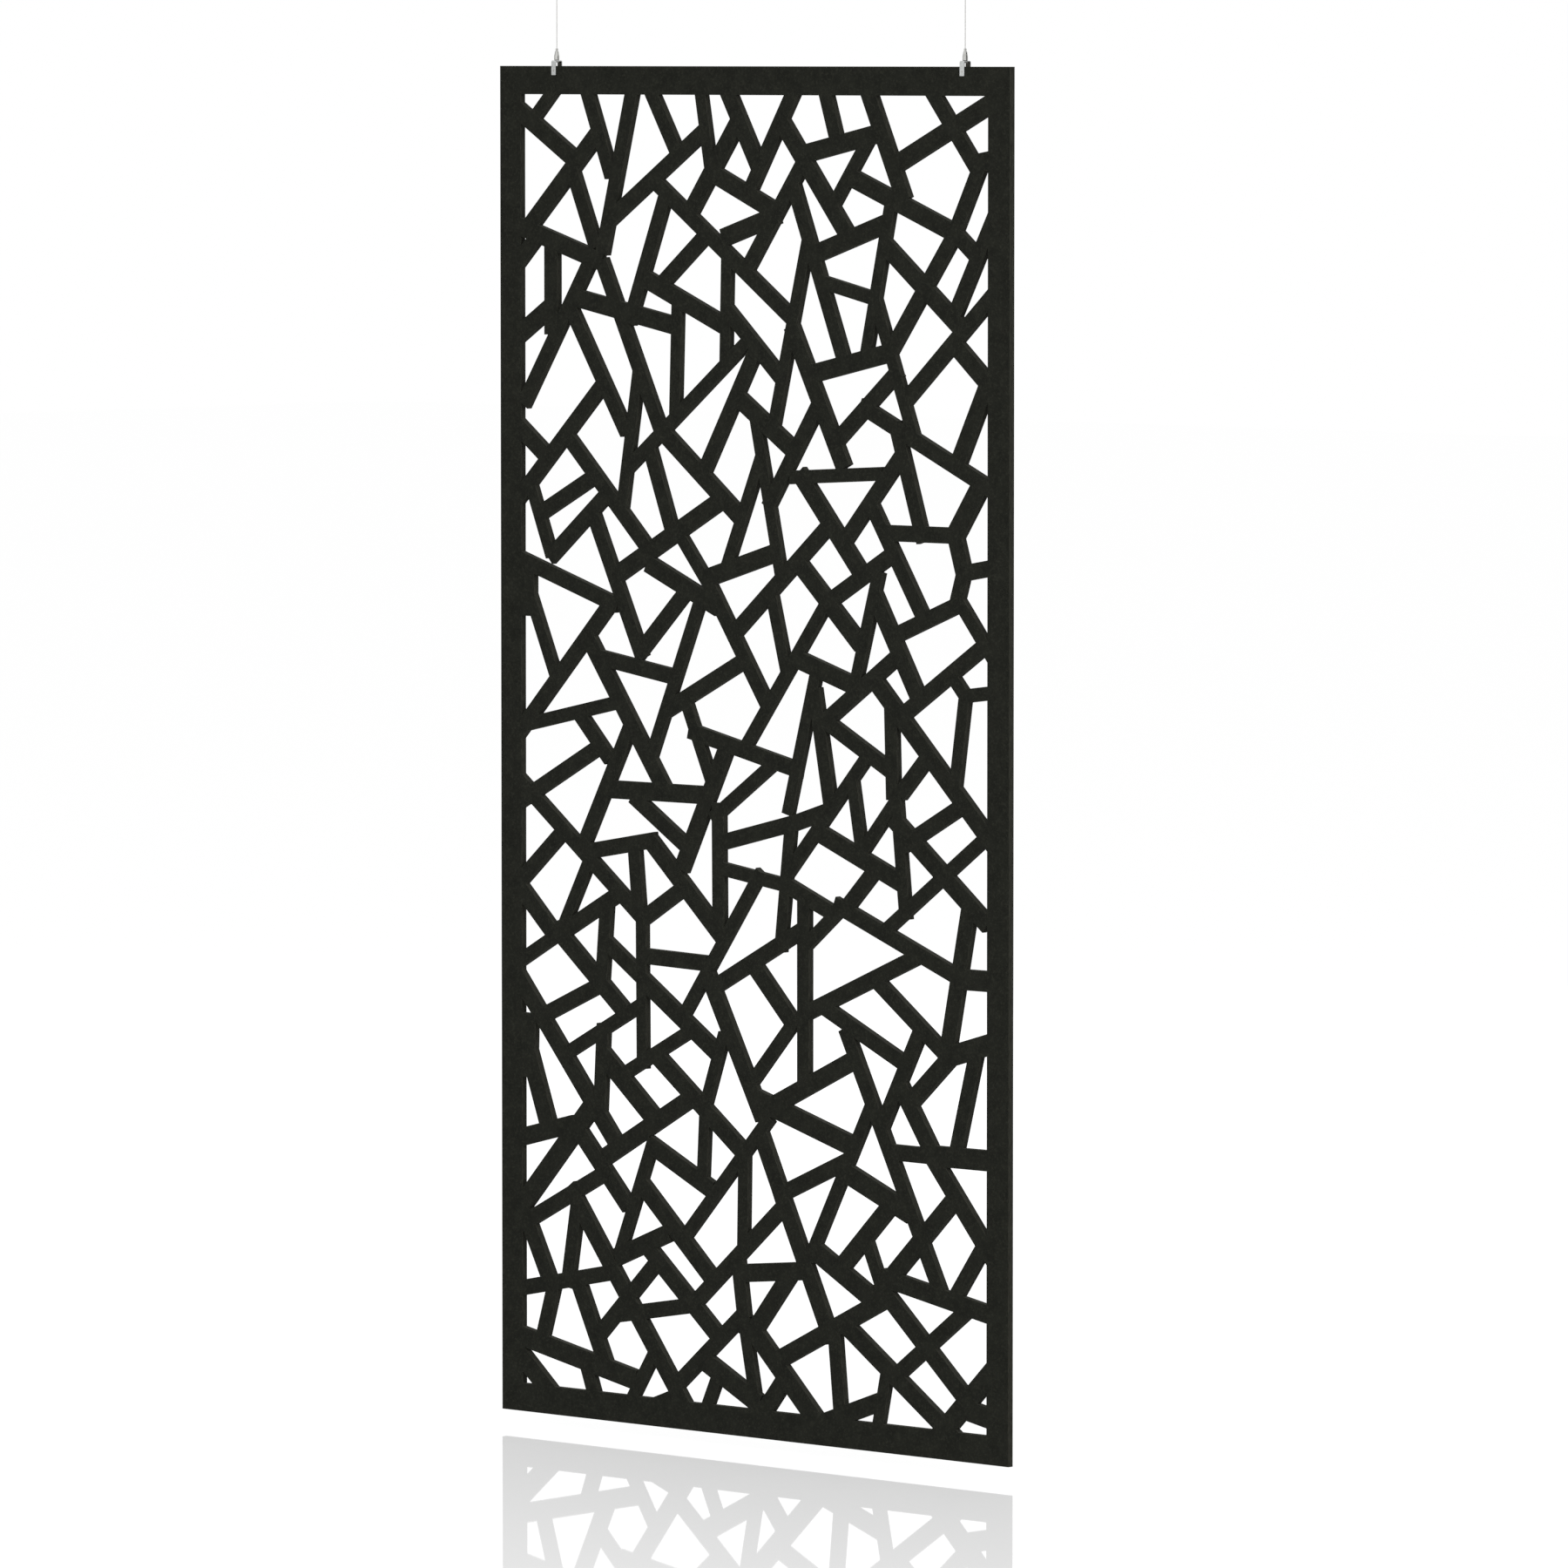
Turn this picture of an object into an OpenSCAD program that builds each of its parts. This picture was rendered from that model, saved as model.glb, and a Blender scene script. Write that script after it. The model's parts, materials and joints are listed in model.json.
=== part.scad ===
// Hanging room divider panel. One sheet of pressed felt is cut through with an irregular lattice of
// straight sticks inside a plain border. Two clips straddle its top edge, and on each clip a gripper
// holds a thin steel cable that ends in a ball, in a small fitting on the ceiling.
// The origin is on the ceiling, midway between the two fittings. X runs along the panel and Z is up.

/* [Felt panel] */
// Width of the sheet
panel_w = 1200; // [900:50:1500]
// Height of the sheet
panel_h = 2400; // [1800:50:2800]
// Thickness of the sheet
panel_t = 12; // [9:0.5:16]
// Plain border round the lattice
border_w = 50; // [40:1:80]
// Width of a slim stick of the lattice
slim_w = 24; // [18:1:28]
// Width of a regular stick
regular_w = 28; // [22:1:32]
// Width of a broad stick
broad_w = 32; // [26:1:36]
// Width of a wide stick
wide_w = 36; // [30:1:40]

/* [Hanging] */
// From the ceiling down to the top edge of the felt
drop = 150; // [130:5:600]
// From the left edge of the felt to the left cable
left_inset = 133; // [60:1:200]
// From the right edge of the felt to the right cable
right_inset = 107; // [60:1:200]
// Diameter of the cables
cable_d = 1.5; // [1:0.1:1.8]
// Clear space round a cable where it runs through a bore
cable_play = 0.3; // [0.2:0.05:0.4]

/* [Clip] */
// Width of the strap that is bent into the clip
clip_w = 10.5; // [9:0.5:14]
// Thickness of the strap
clip_t = 1.8; // [1.5:0.1:3]
// How far the legs reach down over the felt
clip_reach = 16; // [14:0.5:24]
// How far the strap stands above the edge of the felt
clip_rise = 10; // [9:0.5:16]
// Outer radius of the two bends
bend_r = 3.2; // [2.5:0.1:4]
// Radius of the corners of the legs
leg_corner_r = 1; // [0.5:0.1:3]
// Thickness of the front pressure plate
plate_t = 0.8; // [0.6:0.1:2]
// Clear space between the front pressure plate and its leg
plate_play = 0.1; // [0.1:0.05:0.5]
// Width of the pressure plates
plate_w = 9; // [7:0.5:10]
// Height of the pressure plates
plate_h = 12; // [10:0.5:14]
// Radius of the corners of the pressure plates
plate_corner_r = 1.5; // [0.5:0.1:2.5]
// How far the clamp screw lies below the edge of the felt
screw_depth = 8; // [7:0.5:8.5]
// Diameter of the clamp screw
screw_d = 4; // [3:0.5:5]
// Width across the flats of the clamp screw's socket
socket_w = 2; // [1.5:0.1:2.2]
// Depth of the clamp screw's socket
socket_depth = 1.3; // [0.8:0.1:1.5]
// Diameter of the rivet pin on the rear pressure plate
rivet_d = 2.5; // [2:0.1:3]

/* [Gripper] */
// Diameter of the body over its straight foot
body_d = 9.6; // [9.4:0.1:12]
// Diameter of the body at its tip
body_tip_d = 6.8; // [6.4:0.1:8]
// Height of the body
body_h = 15.4; // [15:0.1:18]
// Height of the straight foot
foot_h = 6; // [4:0.5:7]
// Bevel round the ends of the body
body_bevel = 0.4; // [0.2:0.1:0.6]
// Thickness of the washer below the body
washer_t = 0.6; // [0.4:0.1:1]
// Diameter of the washer
washer_d = 8.4; // [7.5:0.1:9]
// Diameter of the hollow bolt's shank
bolt_d = 5; // [4.6:0.1:5.4]
// Width across the flats of the bolt's head
bolt_head_w = 9; // [7:0.1:9]
// Height of the bolt's head
bolt_head_h = 2; // [1:0.1:2.4]
// How far the bolt reaches into the body
bolt_grip = 2.4; // [2:0.1:3]
// Diameter of the plunger's tube
plunger_d = 4.6; // [4.4:0.1:4.8]
// How far the plunger stands out of the body
plunger_out = 5; // [3:0.5:8]
// How far the plunger can be pressed in
plunger_travel = 1.5; // [0.8:0.1:1.6]
// Diameter of the flange at the plunger's foot
flange_d = 5.6; // [5.2:0.1:5.7]
// Thickness of the flange
flange_t = 0.7; // [0.5:0.1:1]
// Length of the spring below the flange
spring_h = 3.6; // [3.4:0.1:4]
// Diameter of the spring's wire
spring_wire_d = 0.4; // [0.3:0.05:0.45]
// Mean diameter of the spring
spring_d = 4.4; // [4.2:0.1:4.6]
// Turns of the spring
spring_turns = 4; // [3:1:4]
// Diameter of a locking ball
lock_ball_d = 1.5; // [1.3:0.1:1.6]
// Number of locking balls
lock_balls = 3; // [3:1:4]
// How far the locking balls lie above the flange's foot
lock_ball_rise = 3; // [2.5:0.1:3.5]
// Length of the cone that the locking balls run in
race_h = 6; // [5:0.5:6]

/* [Ceiling fitting] */
// Diameter of the base's disc
base_d = 22; // [20:0.5:30]
// Thickness of the base's disc
base_t = 2.5; // [2:0.1:4]
// Diameter of the base's boss
boss_d = 13; // [12:0.5:14]
// Height of the boss below the disc
boss_h = 6.5; // [5:0.5:7]
// Diameter of the screw hole in the base
screw_hole_d = 4.2; // [3.5:0.1:5]
// Diameter of the countersink for the screw's head
sink_d = 8.6; // [7:0.1:9.5]
// Diameter of the cap
cap_d = 18; // [17:0.5:22]
// Height of the cap
cap_h = 23.5; // [23:0.5:30]
// Bevel round the cap's lower edge
cap_bevel = 1.2; // [0.5:0.1:2]
// Diameter of the ball on the cable's end
end_ball_d = 6; // [5:0.5:7]
// Angle between the ball's seat and the cable
seat_angle = 36; // [32:1:40]
// Diameter of the throat below the seat
throat_d = 3.8; // [3.4:0.1:4]
// Length of the throat
throat_h = 0.8; // [0.5:0.1:1.5]
// Diameter of the mouth below the throat
mouth_d = 6; // [5:0.1:8]
// Height of the flare from the throat to the mouth
mouth_h = 2; // [1.5:0.1:3]

/* [Hidden] */
$fn = 64;

FELT = "#242421";
NICKEL = "#b8b4aa";
STEEL = "#8f8f8c";
ROPE = "#c2c1bc";

// Radial play of a thread or a pressed pin, and of a piece that slides or turns in a bore
THREAD_PLAY = 0.03;
SLIDE_PLAY = 0.05;
// Clear space round the spring and the flange, beside a locking ball, and round the ball in its seat
SPRING_PLAY = 0.5;
LOCK_PLAY = 0.45;
BALL_PLAY = 0.1;
// A cut runs this far past the face that it opens
OVERCUT = 1;

// Places along X
half_span = (panel_w - left_inset - right_inset) / 2;
felt_left = -half_span - left_inset;

// Places along Y, from the middle of the felt
felt_face = panel_t / 2;
leg_inner = felt_face + plate_t + plate_play;
leg_outer = leg_inner + clip_t;

// Places along Z, from the ceiling
felt_top = -drop;
strap_top = felt_top + clip_rise;
clamp_z = felt_top - screw_depth;
body_foot = strap_top + washer_t;
body_top = body_foot + body_h;
bolt_top = body_foot + bolt_grip;
bolt_foot = strap_top - clip_t - bolt_head_h;
flange_foot = bolt_top + spring_h;
lock_z = flange_foot + lock_ball_rise;
plunger_top = body_top + plunger_out;
cable_foot = bolt_foot + OVERCUT;

// The plunger's tube and the cone round it
bore_d = cable_d + 2 * cable_play;
neck_d = plunger_d + 2 * SLIDE_PLAY;
spring_room_d = flange_d + 2 * SPRING_PLAY;
race_tip_d = spring_room_d - 2 * cable_play;
race_top = flange_foot + race_h - flange_t;
lock_ball_r = (cable_d + lock_ball_d) / 2 + LOCK_PLAY;

// The ceiling fitting: the seat's cone would close to a point at seat_apex
cap_foot = -base_t - cap_h;
throat_foot = cap_foot + mouth_h;
seat_foot = throat_foot + throat_h;
seat_apex = seat_foot - throat_d / 2 / tan(seat_angle);
cap_bore_d = boss_d + 2 * SLIDE_PLAY;
seat_top = seat_apex + cap_bore_d / 2 / tan(seat_angle);
end_ball_z = seat_apex + (end_ball_d / 2 + BALL_PLAY) / sin(seat_angle);
end_ball_bore = end_ball_d * 3 / 4;
cable_top = end_ball_z - end_ball_d / 2 + end_ball_bore;

// Cable route: straight down from inside the end ball to inside the hollow bolt
ROUTE_STEPS = 30;
cable_route = [for (k = [0 : ROUTE_STEPS])
    [0, 0, cable_top + (cable_foot - cable_top) * k / ROUTE_STEPS]];
CABLE_SIDES = 8;
SPRING_SIDES = 6;
RINGS_PER_TURN = 12;

// The lattice, as drawn by hand on a sheet of 1200 by 2400 with a border of 50 and z up from its lower
// edge. A stick is [x1, z1, x2, z2], from one end of its middle line to the other. The drawing stretches
// with the sheet, and the sticks keep their widths. A stick that ends at the border runs on into it.
DRAWN_SHEET = [1200, 2400];
DRAWN_BORDER = 50;
// Slim sticks
SLIM_STICKS = [
    [121, 2350, 81, 2309], [482, 2350, 504, 2223], [876, 2277, 790, 2157], [927, 2171, 866, 1891],
    [544, 2068, 540, 1886], [733, 2098, 652, 1770], [761, 2029, 890, 2000], [890, 2000, 979, 1764],
    [603, 1931, 307, 1694], [426, 1985, 420, 1785], [332, 1863, 291, 1612], [624, 1721, 541, 1524],
    [609, 1796, 670, 1518], [70, 1660, 121, 1532], [419, 1594, 513, 1478], [899, 1530, 844, 1333],
    [61, 1481, 136, 1307], [481, 1470, 361, 1185], [787, 1485, 577, 1200], [647, 1487, 684, 1347],
    [1076, 1493, 1150, 1401], [439, 1301, 513, 1133], [754, 1353, 686, 1099], [1064, 1359, 1098, 1321],
    [1098, 1330, 1073, 1155], [1095, 1322, 1150, 1329], [60, 1231, 287, 1280], [873, 1210, 683, 993],
    [507, 1083, 663, 1194], [836, 1174, 862, 1027], [936, 1132, 859, 1041], [939, 1148, 961, 930],
    [216, 1003, 147, 872], [694, 1087, 669, 859], [1150, 1085, 913, 908], [339, 907, 341, 633],
    [624, 996, 439, 733], [523, 998, 684, 975], [821, 950, 724, 869], [130, 857, 50, 812],
    [341, 748, 141, 641], [456, 707, 290, 618], [536, 707, 493, 583], [705, 742, 603, 627],
    [883, 606, 737, 323], [367, 509, 284, 300], [645, 567, 431, 330], [492, 586, 485, 449],
    [584, 503, 581, 323], [868, 374, 912, 274], [584, 200, 615, 43], [375, 141, 313, 42],
    [526, 114, 494, 43], [920, 149, 898, 43], [693, 1687, 907, 1699]
];
// Regular sticks
REGULAR_STICKS = [
    [211, 2350, 267, 2206], [316, 2350, 245, 2070], [366, 2350, 424, 2250], [696, 2350, 593, 2177],
    [776, 2350, 801, 2271], [1025, 2350, 1121, 2227], [168, 2228, 230, 2080], [361, 2206, 694, 1965],
    [722, 2233, 584, 2038], [1136, 2243, 1070, 2111], [396, 2171, 310, 1949], [387, 2018, 490, 2103],
    [700, 2193, 818, 1891], [1072, 2114, 914, 1895], [1064, 2123, 1124, 2074],
    [1150, 2122, 1067, 1966], [50, 2062, 85, 2097], [216, 2057, 53, 1800], [243, 2058, 385, 1762],
    [1150, 2002, 955, 1822], [164, 1980, 303, 1755], [613, 1910, 484, 1684], [540, 1979, 673, 1857],
    [255, 1849, 50, 1643], [761, 1820, 639, 1633], [856, 1816, 1150, 1681], [157, 1749, 359, 1548],
    [357, 1733, 416, 1575], [952, 1733, 813, 1573], [936, 1788, 1001, 1584], [230, 1679, 87, 1604],
    [259, 1649, 116, 1529], [221, 1613, 341, 1359], [561, 1412, 793, 1616], [876, 1653, 1004, 1449],
    [50, 1524, 281, 1450], [927, 1559, 767, 1465], [913, 1597, 1079, 1597], [1094, 1537, 1073, 1468],
    [1087, 1532, 1150, 1543], [267, 1457, 50, 1226], [444, 1479, 330, 1365], [503, 1491, 639, 1287],
    [1087, 1481, 927, 1417], [1136, 1407, 952, 1283], [242, 1356, 430, 1327], [597, 1371, 396, 1268],
    [749, 1322, 788, 1110], [950, 1391, 770, 1263], [927, 1307, 932, 1136], [239, 1200, 50, 1097],
    [184, 1259, 262, 1177], [315, 1245, 193, 1013], [453, 1236, 719, 1176], [767, 1270, 930, 1184],
    [1007, 1209, 948, 1146], [50, 1125, 339, 901], [317, 1115, 460, 1023], [690, 1081, 787, 1112],
    [1087, 1131, 950, 1055], [150, 1046, 50, 957], [196, 1009, 373, 1040], [321, 1030, 333, 904],
    [523, 1112, 525, 874], [523, 1041, 697, 1084], [901, 1024, 816, 936], [276, 936, 133, 857],
    [255, 931, 242, 773], [447, 963, 339, 897], [727, 903, 513, 788], [676, 979, 795, 931],
    [725, 967, 725, 616], [796, 949, 1087, 835], [249, 855, 341, 793], [339, 833, 496, 828],
    [987, 867, 726, 753], [890, 823, 1050, 704], [230, 772, 90, 709], [246, 707, 237, 543],
    [768, 769, 970, 675], [997, 744, 906, 567], [1124, 713, 1075, 524], [833, 506, 656, 427],
    [920, 525, 1030, 524], [256, 445, 50, 338], [687, 422, 467, 228], [184, 393, 157, 231],
    [567, 323, 587, 183], [1143, 380, 1074, 281], [50, 222, 276, 267], [127, 240, 92, 123],
    [377, 295, 227, 145], [281, 191, 456, 221], [590, 223, 421, 77], [797, 200, 812, 43],
    [1107, 266, 936, 134], [200, 106, 223, 43], [945, 1879, 792, 1746], [820, 734, 1042, 288],
    [497, 2293, 259, 2127]
];
// Broad sticks
BROAD_STICKS = [
    [50, 2317, 174, 2238], [572, 2308, 446, 2131], [548, 2350, 619, 2223], [665, 2313, 824, 2111],
    [876, 2350, 957, 2170], [1150, 2336, 925, 2226], [237, 2285, 60, 2108], [504, 2216, 667, 2144],
    [707, 2245, 896, 2285], [821, 2214, 1073, 2115], [1113, 2234, 1150, 2240], [50, 2115, 245, 2055],
    [533, 2101, 664, 2143], [922, 2133, 736, 2071], [123, 2095, 123, 1925], [333, 2034, 539, 1947],
    [909, 2096, 1086, 1953], [50, 1929, 123, 1977], [173, 1993, 424, 1945], [733, 1866, 924, 1908],
    [1073, 1924, 1150, 1857], [556, 1832, 707, 1729], [1147, 1858, 1076, 1713], [50, 1755, 113, 1707],
    [384, 1764, 577, 1612], [279, 1504, 536, 1647], [712, 1696, 861, 1521], [65, 1518, 65, 1424],
    [353, 1527, 522, 1454], [487, 1503, 664, 1557], [704, 1546, 856, 1401], [1073, 1599, 1093, 1533],
    [888, 1490, 996, 1304], [213, 1387, 401, 1119], [713, 1370, 858, 1325], [881, 1349, 1150, 1080],
    [547, 1221, 434, 991], [250, 1124, 508, 1124], [930, 1105, 1149, 930], [360, 1037, 530, 878],
    [759, 1071, 956, 991], [50, 933, 127, 859], [1109, 967, 1055, 696], [127, 873, 301, 728],
    [493, 816, 627, 563], [599, 839, 705, 728], [47, 770, 279, 493],
    [339, 792, 527, 666], [1070, 704, 968, 610], [373, 659, 593, 492], [844, 681, 656, 590],
    [948, 643, 1027, 524], [50, 493, 173, 524], [172, 528, 306, 385], [467, 594, 250, 470],
    [356, 501, 507, 429], [618, 545, 790, 184], [1013, 534, 1153, 366], [162, 412, 445, 38],
    [339, 427, 515, 265], [923, 429, 807, 311], [1087, 467, 897, 276], [50, 365, 116, 236],
    [276, 293, 404, 346], [350, 319, 519, 174], [561, 286, 741, 304], [697, 301, 604, 185],
    [907, 306, 1150, 260], [177, 256, 257, 87], [913, 267, 659, 139], [812, 222, 1069, 43],
    [907, 285, 1107, 103], [679, 109, 629, 46], [430, 58, 367, 34], [910, 91, 753, 34],
    [694, 1951, 818, 1706]
];
// Wide sticks
WIDE_STICKS = [
    [1133, 1687, 1073, 1597], [1076, 834, 1150, 834], [1150, 725, 1050, 696], [65, 715, 62, 600],
    [63, 649, 114, 509], [241, 655, 379, 537], [215, 556, 50, 374], [612, 597, 848, 526],
    [1020, 525, 1150, 525], [813, 486, 973, 420], [741, 346, 890, 263], [50, 134, 324, 78],
    [487, 127, 619, 60], [601, 193, 754, 42], [1150, 151, 1044, 45], [47, 98, 107, 46],
    [1099, 91, 1150, 81]
];

// A rounded rectangle about the origin
module rounded(w, h, r) {
    square([w - 2 * r, h], center = true);
    square([w, h - 2 * r], center = true);
    for (x = [-1, 1], y = [-1, 1]) translate([x * (w / 2 - r), y * (h / 2 - r)]) circle(r);
}

// A bar that stands on a line and ends above in two rounded corners
module arch(w, foot, top, r) {
    translate([-w / 2, foot]) square([w, top - r - foot]);
    translate([-w / 2 + r, foot]) square([w - 2 * r, top - foot]);
    for (x = [-1, 1]) translate([x * (w / 2 - r), top - r]) circle(r);
}

// A flat outline in X and Z, made thick towards the front from y
module plate_at(y, t)
    translate([0, y, 0]) rotate([90, 0, 0]) linear_extrude(t) children();

// A round bar along Y, from its front end at y backwards
module rod_at(y, z, d, l, sides = $fn)
    translate([0, y, z]) rotate([-90, 0, 0]) cylinder(l, d = d, $fn = sides);

// One ring of a tube: the circle about a point, square to the path there
function ring(path, i, r, sides, side_on) =
    let (last = len(path) - 1)
    let (ahead = path[min(i + 1, last)] - path[max(i - 1, 0)])
    let (u = cross(ahead, side_on) / norm(cross(ahead, side_on)))
    let (v = cross(ahead, u) / norm(ahead))
    [for (k = [0 : sides - 1]) path[i] + r * (cos(360 * k / sides) * u + sin(360 * k / sides) * v)];

// A tube along a path: side_on is a direction that the path never takes
module tube(path, d, sides, side_on) {
    rings = len(path);
    last = (rings - 1) * sides;
    points = [for (i = [0 : rings - 1], p = ring(path, i, d / 2, sides, side_on)) p];
    walls = [for (i = [0 : rings - 2], k = [0 : sides - 1])
        let (a = i * sides + k, b = i * sides + (k + 1) % sides)
        [a, b, b + sides, a + sides]];
    foot = [for (k = [0 : sides - 1]) sides - 1 - k];
    head = [for (k = [0 : sides - 1]) last + k];
    polyhedron(points, concat([foot], walls, [head]), convexity = 4);
}

// How far a stick's end runs on: by the stick's width where it lies at the border, else not at all
function run_on(p, w) =
    min(p[0], p[1], DRAWN_SHEET[0] - p[0], DRAWN_SHEET[1] - p[1]) <= DRAWN_BORDER ? w : 0;

// A point of the drawing, on the window of the sheet
function on_window(p) = [
    (p[0] - DRAWN_BORDER) * (panel_w - 2 * border_w) / (DRAWN_SHEET[0] - 2 * DRAWN_BORDER),
    (p[1] - DRAWN_BORDER) * (panel_h - 2 * border_w) / (DRAWN_SHEET[1] - 2 * DRAWN_BORDER)
];

// One stick of the lattice, with square ends, from [x1, z1] to [x2, z2] on the drawing
module stick(s, w) {
    from = [s[0], s[1]];
    to = [s[2], s[3]];
    along = (on_window(to) - on_window(from)) / norm(on_window(to) - on_window(from));
    side = w / 2 * [-along[1], along[0]];
    start = on_window(from) - run_on(from, w) * along;
    end = on_window(to) + run_on(to, w) * along;
    polygon([start + side, end + side, end - side, start - side]);
}

module sticks() {
    for (s = SLIM_STICKS) stick(s, slim_w);
    for (s = REGULAR_STICKS) stick(s, regular_w);
    for (s = BROAD_STICKS) stick(s, broad_w);
    for (s = WIDE_STICKS) stick(s, wide_w);
}

// The sheet of felt: what the cutter takes out is the window less the sticks
module felt_panel() color(FELT)
    translate([felt_left, felt_face, felt_top - panel_h]) rotate([90, 0, 0]) linear_extrude(panel_t)
        difference() {
            square([panel_w, panel_h]);
            translate([border_w, border_w]) difference() {
                square([panel_w - 2 * border_w, panel_h - 2 * border_w]);
                sticks();
            }
        }

// A strap bent into a U over the felt's edge, with rounded leg ends
module clip() color(NICKEL) {
    leg_h = clip_rise + clip_reach;
    difference() {
        intersection() {
            translate([-clip_w / 2, 0, 0]) rotate([90, 0, 90]) linear_extrude(clip_w) difference() {
                arch(2 * leg_outer, strap_top - leg_h, strap_top, bend_r);
                arch(2 * leg_inner, strap_top - leg_h - OVERCUT, strap_top - clip_t, bend_r - clip_t);
            }
            plate_at(leg_outer + OVERCUT, 2 * (leg_outer + OVERCUT))
                translate([0, strap_top - leg_h]) mirror([0, 1])
                    arch(clip_w, -leg_h - OVERCUT, 0, leg_corner_r);
        }
        translate([0, 0, strap_top - clip_t - OVERCUT])
            cylinder(clip_t + 2 * OVERCUT, d = bolt_d + 2 * SLIDE_PLAY);
        rod_at(-leg_outer - OVERCUT, clamp_z, screw_d + 2 * THREAD_PLAY, clip_t + 2 * OVERCUT);
        rod_at(leg_inner - OVERCUT, clamp_z, rivet_d + 2 * THREAD_PLAY, clip_t + 2 * OVERCUT);
    }
}

// The plate that the clamp screw pushes against the felt
module front_plate() color(STEEL)
    plate_at(-felt_face, plate_t) translate([0, clamp_z]) rounded(plate_w, plate_h, plate_corner_r);

// The plate behind the felt, riveted to the rear leg
module rear_plate() color(STEEL) {
    plate_at(leg_inner, leg_inner - felt_face)
        translate([0, clamp_z]) rounded(plate_w, plate_h, plate_corner_r);
    rod_at(leg_inner, clamp_z, rivet_d, clip_t);
}

// A headless screw with a hexagon socket, just below the face of the front leg
module clamp_screw() color(STEEL) difference() {
    screw_l = clip_t;
    screw_front = -felt_face - plate_t - screw_l;
    rod_at(screw_front, clamp_z, screw_d, screw_l);
    rod_at(screw_front - OVERCUT, clamp_z, socket_w / cos(30), socket_depth + OVERCUT, 6);
}

// The tapered body, bored for the bolt, the spring, the cone of the balls and the plunger
module gripper_body() color(NICKEL) rotate_extrude() polygon([
    [bolt_d / 2 + THREAD_PLAY, body_foot],
    [body_d / 2 - body_bevel, body_foot],
    [body_d / 2, body_foot + body_bevel],
    [body_d / 2, body_foot + foot_h],
    [body_tip_d / 2, body_top - body_bevel],
    [body_tip_d / 2 - body_bevel, body_top],
    [neck_d / 2, body_top],
    [neck_d / 2, race_top],
    [race_tip_d / 2, race_top],
    [spring_room_d / 2, race_top - race_h],
    [spring_room_d / 2, bolt_top],
    [bolt_d / 2 + THREAD_PLAY, bolt_top]
]);

module washer() color(STEEL) translate([0, 0, strap_top]) difference() {
    cylinder(washer_t, d = washer_d);
    translate([0, 0, -OVERCUT]) cylinder(washer_t + 2 * OVERCUT, d = bolt_d + 2 * SLIDE_PLAY);
}

// The bolt through the strap: the cable's end comes out through it
module hollow_bolt() color(STEEL) difference() {
    union() {
        translate([0, 0, bolt_foot]) cylinder(bolt_head_h, d = bolt_head_w / cos(30), $fn = 6);
        translate([0, 0, bolt_foot]) cylinder(bolt_top - bolt_foot, d = bolt_d);
    }
    translate([0, 0, bolt_foot - OVERCUT]) cylinder(bolt_top - bolt_foot + 2 * OVERCUT, d = bore_d);
}

// The tube that frees the cable when it is pressed in, with a window for each ball
module plunger() color(NICKEL) difference() {
    rotate_extrude() polygon([
        [bore_d / 2, flange_foot],
        [flange_d / 2, flange_foot],
        [flange_d / 2, flange_foot + flange_t],
        [plunger_d / 2, flange_foot + flange_t],
        [plunger_d / 2, plunger_top - body_bevel],
        [plunger_d / 2 - body_bevel, plunger_top],
        [bore_d / 2, plunger_top]
    ]);
    for (k = [0 : lock_balls - 1])
        rotate([0, 90, 360 * k / lock_balls])
            translate([-lock_z, 0, 0]) cylinder(plunger_d, d = lock_ball_d + 2 * SLIDE_PLAY);
}

module lock_balls() color(STEEL)
    for (k = [0 : lock_balls - 1])
        rotate([0, 0, 360 * k / lock_balls]) translate([lock_ball_r, 0, lock_z]) sphere(d = lock_ball_d);

module spring() color(STEEL) {
    steps = spring_turns * RINGS_PER_TURN;
    climb = spring_h - spring_wire_d - 2 * SLIDE_PLAY;
    tube([for (k = [0 : steps])
        [spring_d / 2 * cos(360 * k / RINGS_PER_TURN), spring_d / 2 * sin(360 * k / RINGS_PER_TURN),
            bolt_top + spring_wire_d / 2 + SLIDE_PLAY + climb * k / steps]],
        spring_wire_d, SPRING_SIDES, [0, 0, 1]);
}

module cable() color(ROPE) tube(cable_route, cable_d, CABLE_SIDES, [1, 0, 0]);

// The ball is pressed on the cable's end and hangs in the cap
module end_ball() color(STEEL) translate([0, 0, end_ball_z]) difference() {
    sphere(d = end_ball_d);
    translate([0, 0, -end_ball_d / 2 - OVERCUT])
        cylinder(end_ball_bore + OVERCUT, d = cable_d + 2 * THREAD_PLAY);
}

// The cap screws over the boss: its floor is the ball's seat, a throat and a flared mouth
module ceiling_cap() color(NICKEL) rotate_extrude() polygon([
    [cap_bore_d / 2, -base_t],
    [cap_bore_d / 2, seat_top],
    [throat_d / 2, seat_foot],
    [throat_d / 2, throat_foot],
    [mouth_d / 2, cap_foot],
    [cap_d / 2 - cap_bevel, cap_foot],
    [cap_d / 2, cap_foot + cap_bevel],
    [cap_d / 2, -base_t]
]);

// The base is screwed to the ceiling through its middle
module ceiling_base() color(NICKEL) rotate_extrude() polygon([
    [screw_hole_d / 2, 0],
    [base_d / 2, 0],
    [base_d / 2, -base_t],
    [boss_d / 2, -base_t],
    [boss_d / 2, -base_t - boss_h],
    [sink_d / 2, -base_t - boss_h],
    [screw_hole_d / 2, -base_t - boss_h + (sink_d - screw_hole_d) / 2]
]);

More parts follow.
